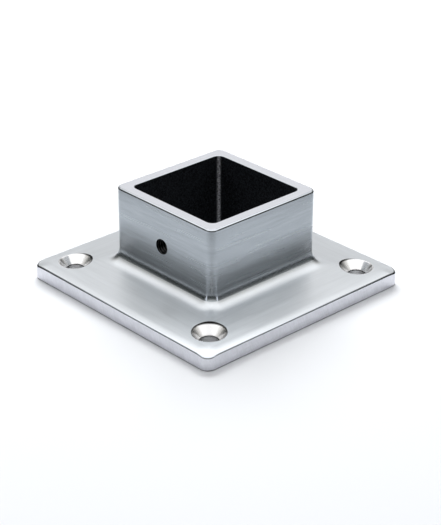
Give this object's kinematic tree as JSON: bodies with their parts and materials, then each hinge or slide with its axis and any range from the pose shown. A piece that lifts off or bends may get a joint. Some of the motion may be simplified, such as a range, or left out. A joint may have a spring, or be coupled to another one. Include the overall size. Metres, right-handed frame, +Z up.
{
  "type": "rail end socket",
  "caption": "One-piece cast square flange with a square socket that holds the end of a square rail tube, with countersunk corner holes and a tapped set-screw hole.",
  "frame": {"origin": "centre of the flat underside, on the socket's axis", "axes": "+Z up the socket from the underside to the rim, -Y out of the face with the set-screw hole, +X to the right"},
  "size_m": [0.09, 0.09, 0.0353],
  "materials": {
    "satin_stainless": "cast stainless steel, linished to a satin brushed finish outside and left rough and dark as cast inside the socket"
  },
  "bodies": {
    "root": {"flanged_socket": "satin_stainless"}
  },
  "joints": []
}
